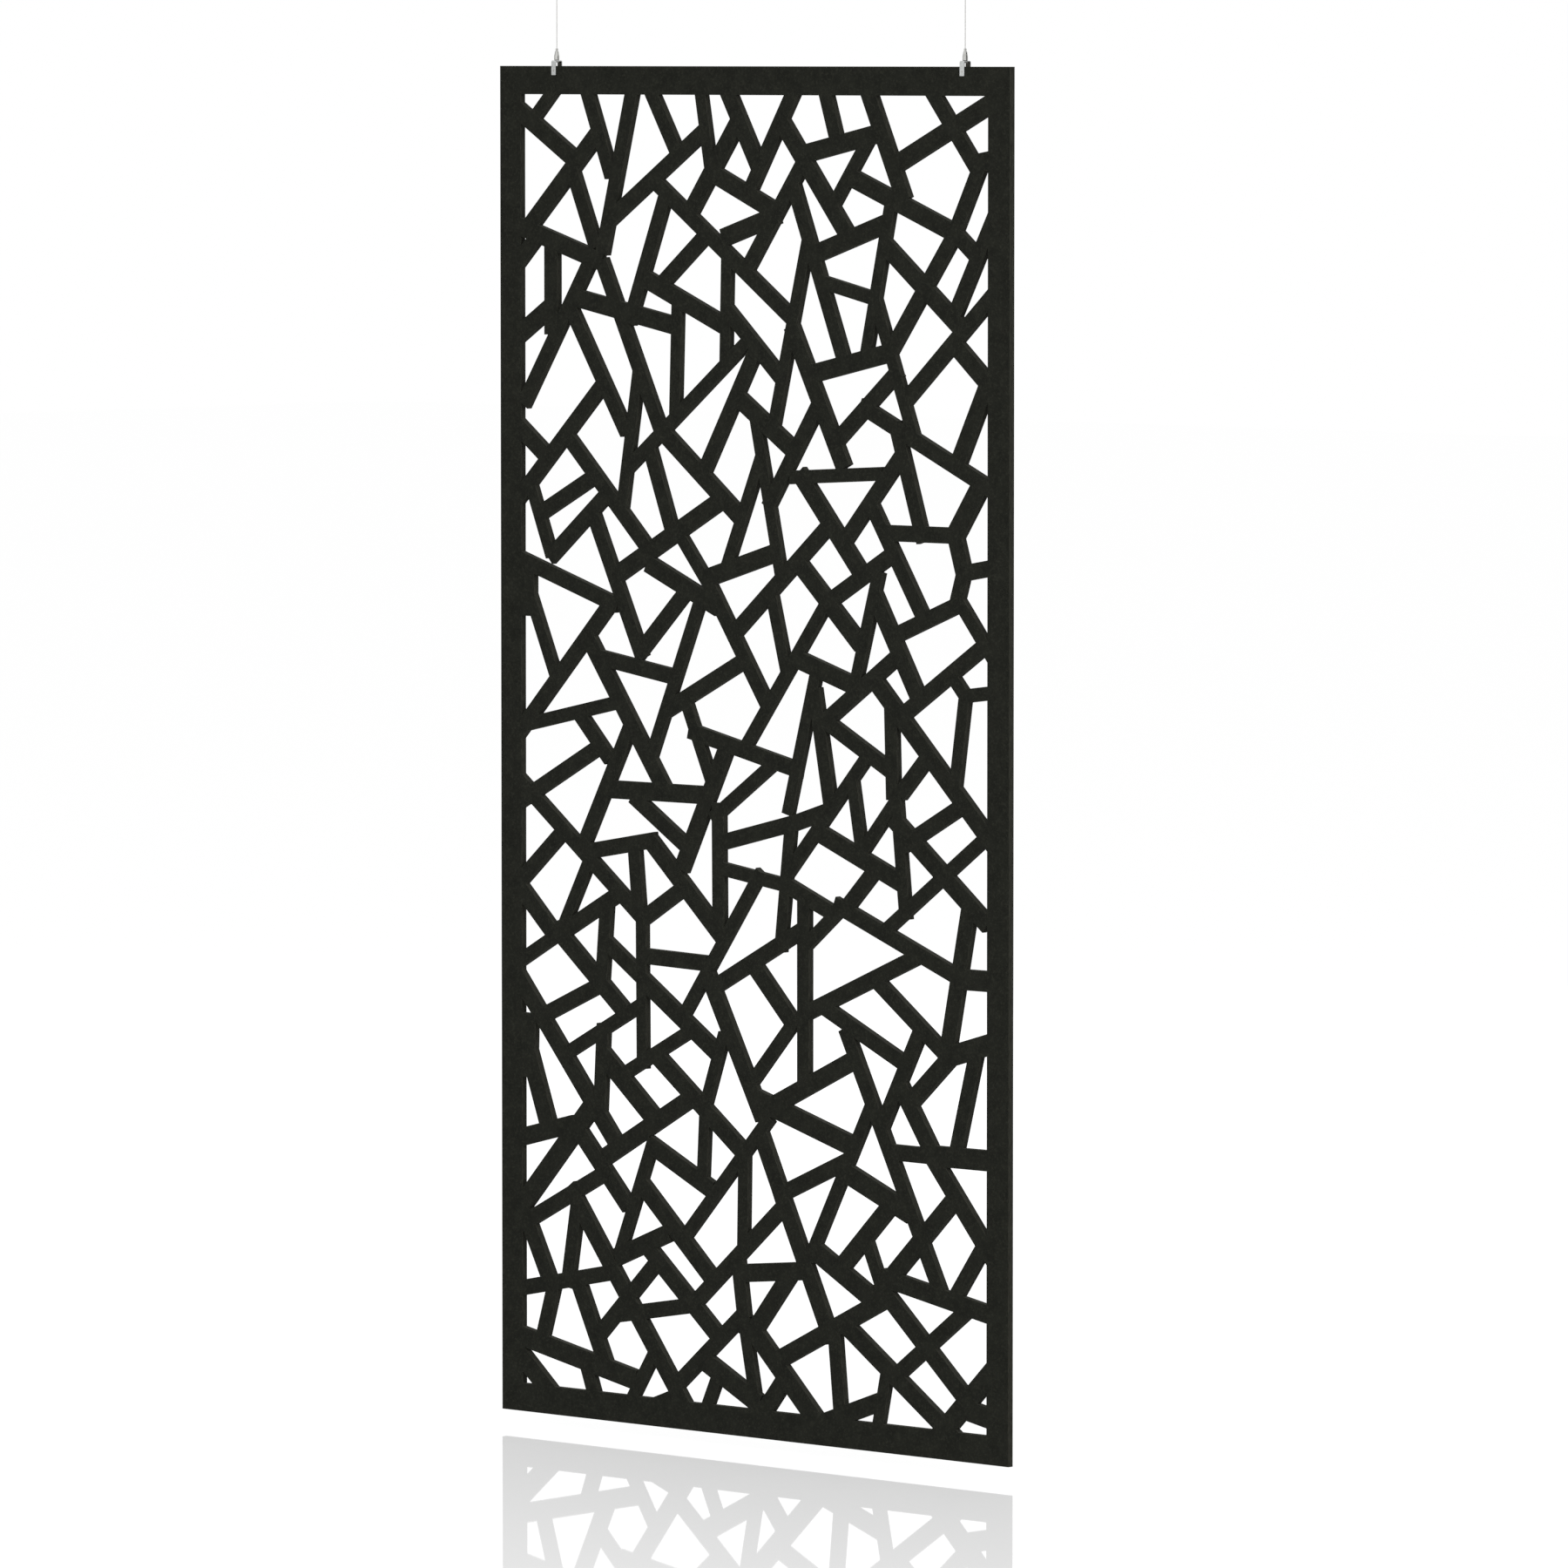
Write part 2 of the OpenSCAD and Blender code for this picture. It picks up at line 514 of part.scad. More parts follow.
// The two sets of hanging hardware
module at_left() translate([-half_span, 0, 0]) children();
module at_right() translate([half_span, 0, 0]) children();
module left_clip() at_left() clip();
module left_front_plate() at_left() front_plate();
module left_rear_plate() at_left() rear_plate();
module left_clamp_screw() at_left() clamp_screw();
module left_gripper_body() at_left() gripper_body();
module left_washer() at_left() washer();
module left_hollow_bolt() at_left() hollow_bolt();
module left_plunger() at_left() plunger();
module left_lock_balls() at_left() lock_balls();
module left_spring() at_left() spring();
module left_cable() at_left() cable();
module left_end_ball() at_left() end_ball();
module left_ceiling_cap() at_left() ceiling_cap();
module left_ceiling_base() at_left() ceiling_base();
module right_clip() at_right() clip();
module right_front_plate() at_right() front_plate();
module right_rear_plate() at_right() rear_plate();
module right_clamp_screw() at_right() clamp_screw();
module right_gripper_body() at_right() gripper_body();
module right_washer() at_right() washer();
module right_hollow_bolt() at_right() hollow_bolt();
module right_plunger() at_right() plunger();
module right_lock_balls() at_right() lock_balls();
module right_spring() at_right() spring();
module right_cable() at_right() cable();
module right_end_ball() at_right() end_ball();
module right_ceiling_cap() at_right() ceiling_cap();
module right_ceiling_base() at_right() ceiling_base();

felt_panel();
left_clip();
left_front_plate();
left_rear_plate();
left_clamp_screw();
left_gripper_body();
left_washer();
left_hollow_bolt();
left_plunger();
left_lock_balls();
left_spring();
left_cable();
left_end_ball();
left_ceiling_cap();
left_ceiling_base();
right_clip();
right_front_plate();
right_rear_plate();
right_clamp_screw();
right_gripper_body();
right_washer();
right_hollow_bolt();
right_plunger();
right_lock_balls();
right_spring();
right_cable();
right_end_ball();
right_ceiling_cap();
right_ceiling_base();
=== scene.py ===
"""Hanging room divider panel: a lattice of charcoal felt on two thin wire ropes, with nickel fittings."""

import json
import math

import bpy
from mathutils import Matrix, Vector

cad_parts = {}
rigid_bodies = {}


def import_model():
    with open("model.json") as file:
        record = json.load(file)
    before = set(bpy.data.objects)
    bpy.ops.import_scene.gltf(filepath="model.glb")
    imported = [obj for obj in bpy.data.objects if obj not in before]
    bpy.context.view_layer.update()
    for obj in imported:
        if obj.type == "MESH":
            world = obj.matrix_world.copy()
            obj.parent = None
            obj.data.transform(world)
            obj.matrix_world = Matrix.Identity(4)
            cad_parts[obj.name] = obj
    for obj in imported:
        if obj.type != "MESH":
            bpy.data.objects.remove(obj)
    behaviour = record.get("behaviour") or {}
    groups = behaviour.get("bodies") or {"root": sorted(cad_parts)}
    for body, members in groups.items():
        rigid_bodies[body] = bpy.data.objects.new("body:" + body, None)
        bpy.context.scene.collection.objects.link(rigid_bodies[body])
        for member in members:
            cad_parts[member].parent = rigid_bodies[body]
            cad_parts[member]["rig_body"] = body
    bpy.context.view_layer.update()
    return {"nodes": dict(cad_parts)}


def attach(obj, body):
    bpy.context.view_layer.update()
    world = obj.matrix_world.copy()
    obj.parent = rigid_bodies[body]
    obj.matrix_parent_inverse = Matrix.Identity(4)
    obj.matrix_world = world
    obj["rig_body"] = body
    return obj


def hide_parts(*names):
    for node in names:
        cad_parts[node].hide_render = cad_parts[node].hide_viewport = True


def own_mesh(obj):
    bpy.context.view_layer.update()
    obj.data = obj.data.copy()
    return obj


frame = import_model()
bpy.ops.object.select_all(action="DESELECT")

MM = 0.001

# The hanging hardware, in the frame of the part: the ceiling is at z = 0
CABLE_X = {"left": -480 * MM, "right": 480 * MM}
CABLE_TOP = -19.04 * MM
CABLE_FOOT = -142.8 * MM
CABLE_D = 1.5 * MM
BOLT_TOP = -137 * MM
SPRING_LENGTH = 3.6 * MM
SLIDE_PLAY = 0.05 * MM
# The felt sheet, and how far above the floor it hangs
FELT_FOOT = -2550 * MM
FELT_FACE = 6 * MM
FLOOR_GAP = 25 * MM


# ---------------------------------------------------------------- camera

# From the front and the right, level with the top of the sheet, matched to its corners and edges
VIEW_AZIMUTH = math.radians(42.174)
VIEW_DOWN = math.radians(3.890)
CAMERA_AT = (12.744, -13.999, -0.1136)
LENS_MM = 249.4
SENSOR_MM = 36
# The camera sees no further than this, well past the floor's far edge
VIEW_REACH = 200

bpy.ops.object.camera_add(location=CAMERA_AT, rotation=(math.pi / 2 - VIEW_DOWN, 0, VIEW_AZIMUTH))
camera = bpy.context.object
camera.data.lens = LENS_MM
camera.data.sensor_width = SENSOR_MM
camera.data.clip_end = VIEW_REACH
bpy.context.scene.camera = camera
bpy.ops.object.select_all(action="DESELECT")


# ---------------------------------------------------------------- materials


def colour(hex_value):
    """A linear colour from an sRGB hex value."""
    channels = [int(hex_value[i : i + 2], 16) / 255 for i in (1, 3, 5)]
    linear = [c / 12.92 if c <= 0.04045 else ((c + 0.055) / 1.055) ** 2.4 for c in channels]
    return (*linear, 1)


def add(tree, kind, settings=None, inputs=None):
    """One shader node, with its settings by name and its inputs by name or place. An input is a value,
    or a socket to link."""
    node = tree.nodes.new("ShaderNode" + kind)
    for name, value in (settings or {}).items():
        setattr(node, name, value)
    for key, value in (inputs or {}).items():
        if isinstance(value, bpy.types.NodeSocket):
            tree.links.new(value, node.inputs[key])
        else:
            node.inputs[key].default_value = value
    return node


# The places of a colour Mix node's sockets, which share their names with those of its other kinds
MIX_SHARE, MIX_FIRST, MIX_SECOND, MIX_RESULT = 0, 6, 7, 2
COLOUR_MIX = {"data_type": "RGBA"}


def new_material(name):
    """An empty node material, with the place of each point on the object in millimetres."""
    material = bpy.data.materials.new(name)
    material.use_nodes = True
    tree = material.node_tree
    tree.nodes.clear()
    place = {"Vector": add(tree, "TexCoord").outputs["Object"], "Scale": 1 / MM}
    in_mm = add(tree, "VectorMath", {"operation": "SCALE"}, place).outputs["Vector"]
    return material, tree, in_mm


# The felt's fibres. Real ones are 0.03 mm thick, too fine to show, so they are drawn this coarse: along
# the fibre, through the sheet and across the fibre. They lie at these angles, in radians.
FIBRE_LONG_MM, FIBRE_DEEP_MM, FIBRE_WIDE_MM = 6.4, 1.28, 0.8
FIBRE_ANGLES = (0.3, 1.1, 1.9, 2.7)
# Clouds where the mat is a little denser, flecks where pale fibres knot, and a nap of fibre ends
CLOUD_MM, FLECK_MM, NAP_MM = 26, 4.5, 0.9
# The layers of the mat, how thick they are and how many times longer they run
LAYER_MM = 0.7
LAYER_RUN = 16
# A surface whose normal leans less than this towards the front or the back is a cut edge
FACE_ON = 0.7


def pressed_felt():
    """Needled polyester felt, charcoal: a matt mat of fibres with paler ones among the dark, and a
    cut edge that shows the layers of the mat."""
    material, tree, mm = new_material("pressed_felt")

    fibres = 0.0
    squeeze = (FIBRE_WIDE_MM / FIBRE_LONG_MM, FIBRE_WIDE_MM / FIBRE_DEEP_MM, 1)
    for angle in FIBRE_ANGLES:
        lay = add(tree, "Mapping", None, {"Vector": mm, "Rotation": (0, angle, 0)}).outputs["Vector"]
        lay = add(tree, "Mapping", None, {"Vector": lay, "Scale": squeeze}).outputs["Vector"]
        strand = {"Vector": lay, "Scale": 1 / FIBRE_WIDE_MM, "Detail": 2, "Roughness": 0.6}
        strand = add(tree, "TexNoise", None, strand).outputs["Fac"]
        fibres = add(tree, "Math", {"operation": "MAXIMUM"}, {0: fibres, 1: strand}).outputs["Value"]
    clouds = {"Vector": mm, "Scale": 1 / CLOUD_MM, "Detail": 4, "Roughness": 0.6}
    clouds = add(tree, "TexNoise", None, clouds).outputs["Fac"]
    nap = {"Vector": mm, "Scale": 1 / NAP_MM, "Detail": 4, "Roughness": 0.75}
    nap = add(tree, "TexNoise", None, nap).outputs["Fac"]
    flecks = {"Vector": mm, "Scale": 1 / FLECK_MM, "Detail": 3, "Roughness": 0.7}
    flecks = add(tree, "TexNoise", None, flecks).outputs["Fac"]

    dense = {"Value": clouds, "From Min": 0.35, "From Max": 0.65}
    dense = add(tree, "MapRange", None, dense).outputs["Result"]
    mat = {MIX_SHARE: dense, MIX_FIRST: colour("#181915"), MIX_SECOND: colour("#20211c")}
    mat = add(tree, "Mix", COLOUR_MIX, mat).outputs[MIX_RESULT]
    knots = {"Value": flecks, "From Min": 0.5, "From Max": 0.74, "To Max": 0.55}
    knots = add(tree, "MapRange", None, knots).outputs["Result"]
    knotted = {MIX_SHARE: knots, MIX_FIRST: mat, MIX_SECOND: colour("#36372f")}
    knotted = add(tree, "Mix", COLOUR_MIX, knotted).outputs[MIX_RESULT]
    pale = {"Value": fibres, "From Min": 0.63, "From Max": 0.76, "To Max": 0.6}
    pale = add(tree, "MapRange", None, pale).outputs["Result"]
    face = {MIX_SHARE: pale, MIX_FIRST: knotted, MIX_SECOND: colour("#3f4038")}
    face = add(tree, "Mix", COLOUR_MIX, face).outputs[MIX_RESULT]

    # The cut edge shows the layers of the mat, and it is paler than the pressed face
    layers = {"Vector": mm, "Scale": (1 / LAYER_RUN, 1, 1 / LAYER_RUN)}
    layers = add(tree, "Mapping", None, layers).outputs["Vector"]
    layers = {"Vector": layers, "Scale": 1 / LAYER_MM, "Detail": 3, "Roughness": 0.6}
    layers = add(tree, "TexNoise", None, layers).outputs["Fac"]
    banks = {"Value": layers, "From Min": 0.36, "From Max": 0.64}
    banks = add(tree, "MapRange", None, banks).outputs["Result"]
    edge = {MIX_SHARE: banks, MIX_FIRST: colour("#1d1d19"), MIX_SECOND: colour("#3a3a33")}
    edge = add(tree, "Mix", COLOUR_MIX, edge).outputs[MIX_RESULT]
    normal = add(tree, "TexCoord").outputs["Normal"]
    depth = add(tree, "SeparateXYZ", None, {"Vector": normal}).outputs["Y"]
    depth = add(tree, "Math", {"operation": "ABSOLUTE"}, {0: depth}).outputs["Value"]
    on_face = add(tree, "Math", {"operation": "GREATER_THAN"}, {0: depth, 1: FACE_ON}).outputs["Value"]
    tone = {MIX_SHARE: on_face, MIX_FIRST: edge, MIX_SECOND: face}
    tone = add(tree, "Mix", COLOUR_MIX, tone).outputs[MIX_RESULT]

    relief = 0.0
    for height, share in ((fibres, 0.6), (nap, 0.5), (layers, 0.25)):
        raised = {0: height, 1: share, 2: relief}
        relief = add(tree, "Math", {"operation": "MULTIPLY_ADD"}, raised).outputs["Value"]
    bump = add(tree, "Bump", None, {"Height": relief, "Strength": 0.5, "Distance": 0.35 * MM})
    look = {
        "Base Color": tone,
        "Normal": bump.outputs["Normal"],
        "Roughness": 0.95,
        "Specular IOR Level": 0.12,
        "Sheen Weight": 0.08,
        "Sheen Roughness": 0.6,
        "Sheen Tint": colour("#8a8a84"),
    }
    shader = add(tree, "BsdfPrincipled", None, look).outputs["BSDF"]
    add(tree, "OutputMaterial", None, {"Surface": shader})
    return material


# The clip's inner faces, where its painted shade goes, and how near to them a point counts as on them
LEG_INNER_MM = 6.9
STRAP_UNDERSIDE_MM = -141.8
NEAR_MM = 0.05


def clip_shade_mask(tree, mm):
    """1 on the strap's inner faces, which lie no further out than the legs' inner sides and no higher
    than its underside, and 0 on the rest: the mask of the shade painted inside the clip's bend."""
    place = add(tree, "SeparateXYZ", None, {"Vector": mm}).outputs
    out = add(tree, "Math", {"operation": "ABSOLUTE"}, {0: place["Y"]}).outputs["Value"]
    between = {0: out, 1: LEG_INNER_MM + NEAR_MM}
    between = add(tree, "Math", {"operation": "LESS_THAN"}, between).outputs["Value"]
    under = {0: place["Z"], 1: STRAP_UNDERSIDE_MM + NEAR_MM}
    under = add(tree, "Math", {"operation": "LESS_THAN"}, under).outputs["Value"]
    return add(tree, "Math", {"operation": "MULTIPLY"}, {0: between, 1: under}).outputs["Value"]


# Handling leaves metal a little duller in patches this wide, and tool marks are this deep
HANDLED_MM = 5
MARK_DEPTH = 0.01 * MM


def metal(name, base, dark, gloss, grain_mm, relief, run=(1, 1, 1), inside=None):
    """A metal of a base colour that is darker in patches. Fine tool marks vary its gloss and stand in
    relief: they are as wide as the grain, and run times longer along each axis. Inside is a dark colour
    painted on the inner faces of a clip's bend as painted shade."""
    material, tree, mm = new_material(name)
    along = add(tree, "Mapping", None, {"Vector": mm, "Scale": [1 / length for length in run]})
    marks = {"Vector": along.outputs["Vector"], "Scale": 1 / grain_mm, "Detail": 4, "Roughness": 0.7}
    marks = add(tree, "TexNoise", None, marks).outputs["Fac"]
    handling = {"Vector": mm, "Scale": 1 / HANDLED_MM, "Detail": 3, "Roughness": 0.6}
    handling = add(tree, "TexNoise", None, handling).outputs["Fac"]
    patches = {"Value": handling, "From Min": 0.35, "From Max": 0.7}
    patches = add(tree, "MapRange", None, patches).outputs["Result"]
    tone = {MIX_SHARE: patches, MIX_FIRST: colour(base), MIX_SECOND: colour(dark)}
    tone = add(tree, "Mix", COLOUR_MIX, tone).outputs[MIX_RESULT]
    # Painted shade: the inner faces of the clip's bend take the dark inside colour, in place of the
    # shadow that falls there
    if inside:
        tone = {MIX_SHARE: clip_shade_mask(tree, mm), MIX_FIRST: tone, MIX_SECOND: colour(inside)}
        tone = add(tree, "Mix", COLOUR_MIX, tone).outputs[MIX_RESULT]
    wear = add(tree, "Math", {"operation": "ADD"}, {0: marks, 1: handling}).outputs["Value"]
    spread = {"Value": wear, "From Min": 0.6, "From Max": 1.4, "To Min": gloss[0], "To Max": gloss[1]}
    bump = add(tree, "Bump", None, {"Height": marks, "Strength": relief, "Distance": MARK_DEPTH})
    look = {
        "Base Color": tone,
        "Roughness": add(tree, "MapRange", None, spread).outputs["Result"],
        "Normal": bump.outputs["Normal"],
        "Metallic": 1,
    }
    shader = add(tree, "BsdfPrincipled", None, look).outputs["BSDF"]
    add(tree, "OutputMaterial", None, {"Surface": shader})
    return material


# Satin nickel on turned brass: rings left by the lathe, 0.25 mm apart, under a soft gloss
turned_nickel = metal(
    "turned_satin_nickel",
    "#cfcfcc",
    "#bcbcb8",
    gloss=(0.2, 0.34),
    grain_mm=0.25,
    relief=0.25,
    run=(40, 40, 1),
)
# Satin nickel on bent steel strap, brushed along its length before it was plated. Its inner faces in the
# bend are painted near-black: painted shade, standing in for the shadow inside the U
strap_nickel = metal(
    "brushed_nickel_strap",
    "#cdcfce",
    "#bdbfbe",
    gloss=(0.24, 0.38),
    grain_mm=0.2,
    relief=0.3,
    run=(1, 30, 30),
    # The painted shade inside the bend
    inside="#3b3a36",
)
# Black oxide on steel, a thin dark scale that shows the grain of the metal under it
blackened_steel = metal(
    "blackened_steel", "#4d4c4a", "#3d3c3a", gloss=(0.35, 0.5), grain_mm=0.3, relief=0.25
)
# Plain machined steel: greyer and a little oily
machined_steel = metal(
    "machined_steel", "#9b9a97", "#7f7e7b", gloss=(0.3, 0.48), grain_mm=0.3, relief=0.25
)
# Drawn steel wire, bright and slightly greyed by handling
drawn_wire = metal("drawn_steel_wire", "#e2e1de", "#d1d0cd", gloss=(0.25, 0.4), grain_mm=0.15, relief=0.2)
# Spring steel, dark from its heat treatment
spring_steel = metal("spring_steel", "#77756f", "#5f5d58", gloss=(0.3, 0.45), grain_mm=0.1, relief=0.2)
felt = pressed_felt()


# ---------------------------------------------------------------- pieces

# Points of a solid this near are one point, and points of a piece made here that coincide are nearer
MERGE_WITHIN = 0.005 * MM
SAME_POINT = 0.001 * MM
# Faces turned less than this against each other are one flat face, and an edge turned more is rounded
FLAT_WITHIN = math.radians(0.5)
CORNER_FROM = math.radians(40)
EDGE_SEGMENTS = 2


def finish_piece(piece, material, body, smooth_degrees=35):
    """Gives a piece its finish and its body, and moves its place into its mesh."""
    piece.data.materials.clear()
    piece.data.materials.append(material)
    bpy.ops.object.select_all(action="DESELECT")
    piece.select_set(True)
    bpy.context.view_layer.objects.active = piece
    bpy.ops.object.transform_apply(location=True, rotation=True, scale=True)
    bpy.ops.object.shade_smooth_by_angle(angle=math.radians(smooth_degrees))
    # Flat faces shade flat up to their softened edges
    normals = piece.modifiers.new("flat_faces", "WEIGHTED_NORMAL")
    normals.keep_sharp = True
    bpy.ops.object.modifier_apply(modifier=normals.name)
    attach(piece, body)
    piece.select_set(False)


def copy_of(node, name, make_whole=True):
    """A copy of a solid with its loose triangles joined and, if wanted, its flat faces made whole."""
    mesh = frame["nodes"][node].data.copy()
    piece = bpy.data.objects.new(name, mesh)
    bpy.context.scene.collection.objects.link(piece)
    bpy.ops.object.select_all(action="DESELECT")
    bpy.context.view_layer.objects.active = piece
    piece.select_set(True)
    bpy.ops.object.mode_set(mode="EDIT")
    bpy.ops.mesh.select_all(action="SELECT")
    bpy.ops.mesh.customdata_custom_splitnormals_clear()
    bpy.ops.mesh.remove_doubles(threshold=MERGE_WITHIN)
    if make_whole:
        bpy.ops.mesh.dissolve_limited(angle_limit=FLAT_WITHIN)
    bpy.ops.mesh.select_all(action="DESELECT")
    bpy.ops.object.mode_set(mode="OBJECT")
    return piece


def soften(piece, width):
    """Rounds the sharp edges of a piece, as deburring or use does."""
    bevel = piece.modifiers.new("softened_edges", "BEVEL")
    bevel.width = width
    bevel.segments = EDGE_SEGMENTS
    bevel.limit_method = "ANGLE"
    bevel.angle_limit = CORNER_FROM
    bevel.use_clamp_overlap = True
    bevel.miter_outer = "MITER_ARC"
    bpy.context.view_layer.objects.active = piece
    piece.select_set(True)
    bpy.ops.object.modifier_apply(modifier=bevel.name)
    piece.select_set(False)


def turn_outwards(piece):
    """Joins the points of a piece that coincide, and turns its faces outwards."""
    bpy.context.view_layer.objects.active = piece
    bpy.ops.object.mode_set(mode="EDIT")
    bpy.ops.mesh.select_all(action="SELECT")
    bpy.ops.mesh.remove_doubles(threshold=SAME_POINT)
    bpy.ops.mesh.normals_make_consistent(inside=False)
    bpy.ops.object.mode_set(mode="OBJECT")


def dressed(node, material, edge_mm):
    """A solid's own shape with softened edges and a finish."""
    piece = copy_of(node, node + "_finished")
    if edge_mm:
        soften(piece, edge_mm * MM)
    finish_piece(piece, material, frame["nodes"][node]["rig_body"])
    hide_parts(node)


# Each part's finish, how far its edges are rounded in millimetres, and its slot in the record
HARDWARE = {
    "clip": (strap_nickel, 0.35, "satin_nickel"),
    "front_plate": (machined_steel, 0.12, "plain_steel"),
    "rear_plate": (machined_steel, 0.12, "plain_steel"),
    "clamp_screw": (turned_nickel, 0.12, "plain_steel"),
    "gripper_body": (turned_nickel, 0.12, "satin_nickel"),
    "washer": (blackened_steel, 0.08, "plain_steel"),
    "hollow_bolt": (machined_steel, 0.12, "plain_steel"),
    "plunger": (turned_nickel, 0.08, "satin_nickel"),
    "lock_balls": (machined_steel, 0, "plain_steel"),
    "end_ball": (machined_steel, 0, "plain_steel"),
    "ceiling_cap": (turned_nickel, 0.2, "satin_nickel"),
    "ceiling_base": (turned_nickel, 0.15, "satin_nickel"),
}

for side in CABLE_X:
    for part, (material, edge_mm, slot) in HARDWARE.items():
        dressed(side + "_" + part, material, edge_mm)


# The felt's cut edges turn this far in, in steps of so many degrees. A polygon is on the front or the
# back if its normal leans that way by more than FACE_SQUARE.
FELT_EDGE = 0.4 * MM
FELT_EDGE_STEPS = (30, 60, 90)
FACE_SQUARE = 0.99


def cut_sheet():
    """The felt sheet, with the edges of every cut a little rounded, as a blade leaves them in felt."""
    sheet = copy_of("felt_panel", "felt_sheet", make_whole=False)
    for way in (-1, 1):
        for polygon in sheet.data.polygons:
            polygon.select = polygon.normal.y * way > FACE_SQUARE
        bpy.ops.object.mode_set(mode="EDIT")
        bpy.ops.mesh.select_mode(type="FACE")
        bpy.ops.transform.translate(value=(0, -way * FELT_EDGE, 0))
        inwards = upwards = 0
        for step in FELT_EDGE_STEPS:
            turn = math.radians(step)
            across, up = FELT_EDGE * (1 - math.cos(turn)), FELT_EDGE * math.sin(turn)
            bpy.ops.mesh.inset(thickness=across - inwards, depth=up - upwards, use_even_offset=True)
            inwards, upwards = across, up
        # Sharp corners overshoot the face a little, so the face is pressed flat again
        bpy.ops.transform.resize(value=(1, 0, 1), center_override=(0, way * FELT_FACE, 0))
        bpy.ops.object.mode_set(mode="OBJECT")
    finish_piece(sheet, felt, "panel")
    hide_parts("felt_panel")


cut_sheet()


# ---------------------------------------------------------------- cables

# A rope is three strands across, and each outer strand shows this much of its round, in degrees
STRANDS = 6
STRAND_R = CABLE_D / 6
STRAND_SHOWS = 210
POINTS_PER_STRAND = 6
# The length in which the strands go once round the rope
LAY_LENGTH = 24 * MM
RINGS_PER_LAY = 40
ROPE_SMOOTH = 50


def rope_ring(twist):
    """The outline of the rope across its middle line, turned by twist."""
    ring = []
    for strand in range(STRANDS):
        middle = 2 * math.pi * strand / STRANDS + twist
        cos, sin = math.cos(middle), math.sin(middle)
        for step in range(POINTS_PER_STRAND):
            # Round each strand's outer side, from one valley to the next
            turn = math.radians(STRAND_SHOWS * step / (POINTS_PER_STRAND - 1) - STRAND_SHOWS / 2)
            out = 2 * STRAND_R + STRAND_R * math.cos(turn)
            along = STRAND_R * math.sin(turn)
            ring.append((out * cos - along * sin, out * sin + along * cos))
    return ring


def wire_rope(side):
    """Six strands laid round a core: a round with six lobes that turns as it goes down."""
    length = CABLE_TOP - CABLE_FOOT
    rings = round(length / LAY_LENGTH * RINGS_PER_LAY)
    points = []
    for i in range(rings + 1):
        down = length * i / rings
        ring = rope_ring(2 * math.pi * down / LAY_LENGTH)
        points += [(CABLE_X[side] + x, y, CABLE_TOP - down) for x, y in ring]
    around = STRANDS * POINTS_PER_STRAND
    faces = []
    for first in range(0, rings * around, around):
        for k in range(around):
            a, b = first + k, first + (k + 1) % around
            faces.append((a, a + around, b + around, b))
    faces.append(tuple(range(around)))
    faces.append(tuple(reversed(range(rings * around, (rings + 1) * around))))
    mesh = bpy.data.meshes.new(side + "_wire_rope")
    mesh.from_pydata(points, [], faces)
    rope = bpy.data.objects.new(side + "_wire_rope", mesh)
    bpy.context.scene.collection.objects.link(rope)
    turn_outwards(rope)
    finish_piece(rope, drawn_wire, "cables", ROPE_SMOOTH)
    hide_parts(side + "_cable")


for side in CABLE_X:
    wire_rope(side)


# ---------------------------------------------------------------- springs

SPRING_TURNS = 4
SPRING_D = 4.4 * MM
SPRING_WIRE_D = 0.4 * MM
POINTS_PER_TURN = 16
SPRING_SMOOTH = 60


def coil_spring(side):
    """The plunger's spring, drawn at its full length above the bolt."""
    steps = SPRING_TURNS * POINTS_PER_TURN
    seat = SPRING_WIRE_D / 2 + SLIDE_PLAY
    climb = SPRING_LENGTH - 2 * seat
    bpy.ops.curve.primitive_bezier_curve_add(location=(0, 0, 0))
    coil = bpy.context.object
    coil.name = side + "_coil_spring"
    curve = coil.data
    curve.splines.clear()
    spline = curve.splines.new("POLY")
    spline.points.add(steps)
    for k, point in enumerate(spline.points):
        angle = 2 * math.pi * k / POINTS_PER_TURN
        x = CABLE_X[side] + SPRING_D / 2 * math.cos(angle)
        y = SPRING_D / 2 * math.sin(angle)
        point.co = (x, y, BOLT_TOP + seat + climb * k / steps, 1)
    curve.bevel_depth = SPRING_WIRE_D / 2
    curve.bevel_resolution = 2
    curve.use_fill_caps = True
    bpy.ops.object.convert(target="MESH")
    coil = bpy.context.object
    turn_outwards(coil)
    finish_piece(coil, spring_steel, "panel", SPRING_SMOOTH)
    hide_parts(side + "_spring")
    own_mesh(coil)


for side in CABLE_X:
    coil_spring(side)


# ---------------------------------------------------------------- floor

FLOOR_Z = FELT_FOOT - FLOOR_GAP
FLOOR_SIZE = 80
FLOOR_LIFT = 0.85
# How much of the floor's look is wax, from the panel to where the wax fades out: places are shares of
# that distance
WAX_FADE_MM = 6000
WAX_SHARES = ((0.0, 0.37), (0.4, 0.2), (1.0, 0.0))


def background_rays(tree):
    """1 for the rays that show the background, to the camera or in metal and glass, and 0 for others."""
    path = add(tree, "LightPath").outputs
    seen = path["Is Camera Ray"]
    for ray in ("Is Glossy Ray", "Is Transmission Ray"):
        seen = add(tree, "Math", {"operation": "MAXIMUM"}, {0: seen, 1: path[ray]}).outputs["Value"]
    return seen


